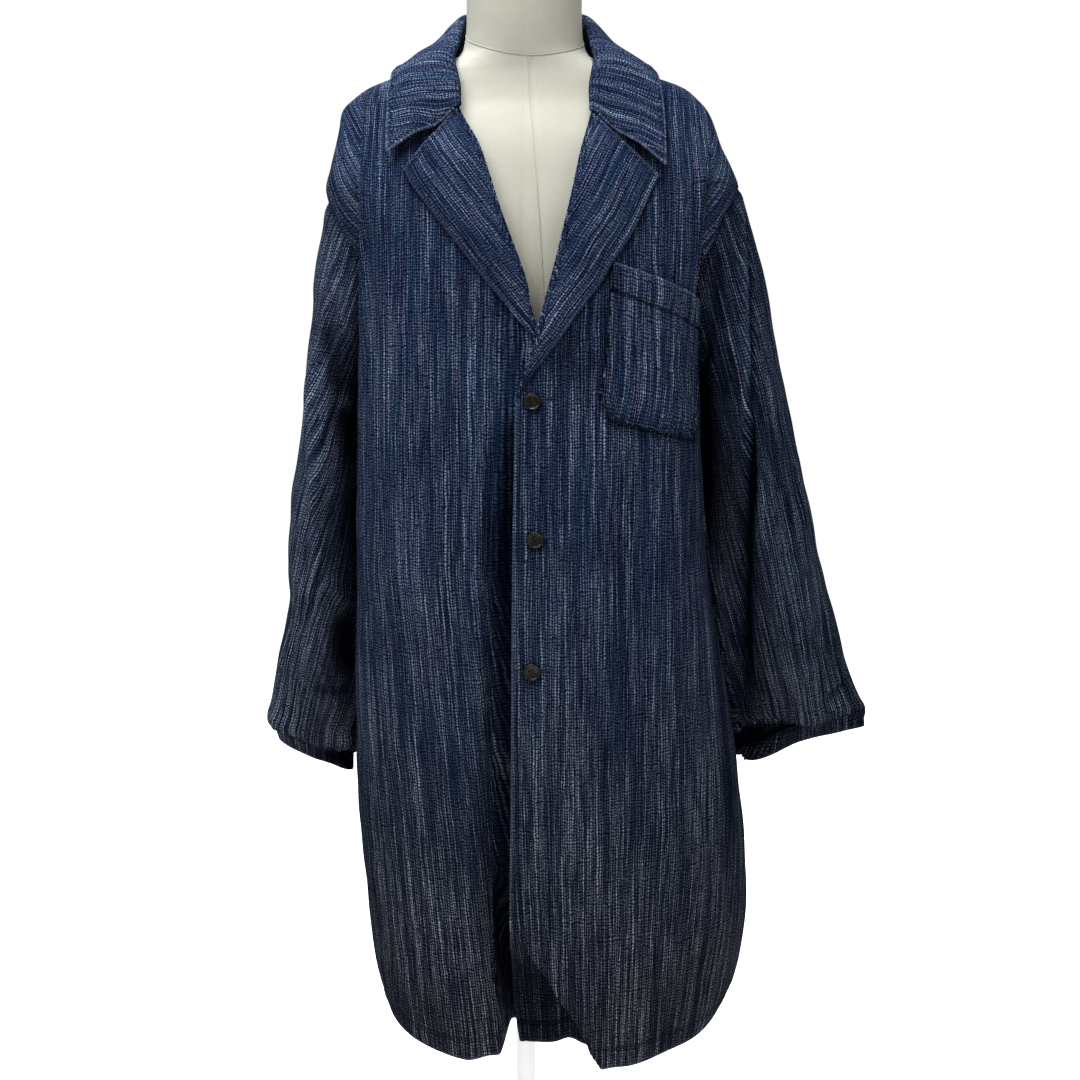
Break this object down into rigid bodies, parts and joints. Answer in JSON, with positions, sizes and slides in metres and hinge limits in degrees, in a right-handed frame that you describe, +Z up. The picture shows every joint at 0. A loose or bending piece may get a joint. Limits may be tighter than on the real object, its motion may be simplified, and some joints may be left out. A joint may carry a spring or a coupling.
{
  "type": "kasuri coat on a dress form",
  "caption": "Long loose buttoned coat with a notched collar, patch chest pocket and empty wide sleeves, in indigo kasuri cloth, hanging on a limbless dress form with a pole and round base.",
  "frame": {"origin": "centre of the underside of the dress form's round base, on the floor", "axes": "+Z up; the coat's front faces -Y; +X is towards the wearer's left side"},
  "size_m": [0.6853, 0.4152, 1.5593],
  "materials": {
    "kasuri": "dark indigo cotton with thin broken pale warp stripes and a crinkled weft, matt",
    "button": "dark brown, polished rim",
    "linen": "cream linen cover, fine plain weave, matt",
    "stand": "off-white paint, satin"
  },
  "bodies": {
    "root": {"back": "kasuri", "front_left": "kasuri", "front_right": "kasuri", "sleeve_left": "kasuri", "sleeve_right": "kasuri", "lapel_left": "kasuri", "lapel_right": "kasuri", "collar": "kasuri", "breast_pocket": "kasuri", "button_1": "button", "button_2": "button", "button_3": "button", "form_torso": "linen", "form_neck_cap": "stand", "form_pole": "stand", "form_base": "stand"}
  },
  "joints": []
}
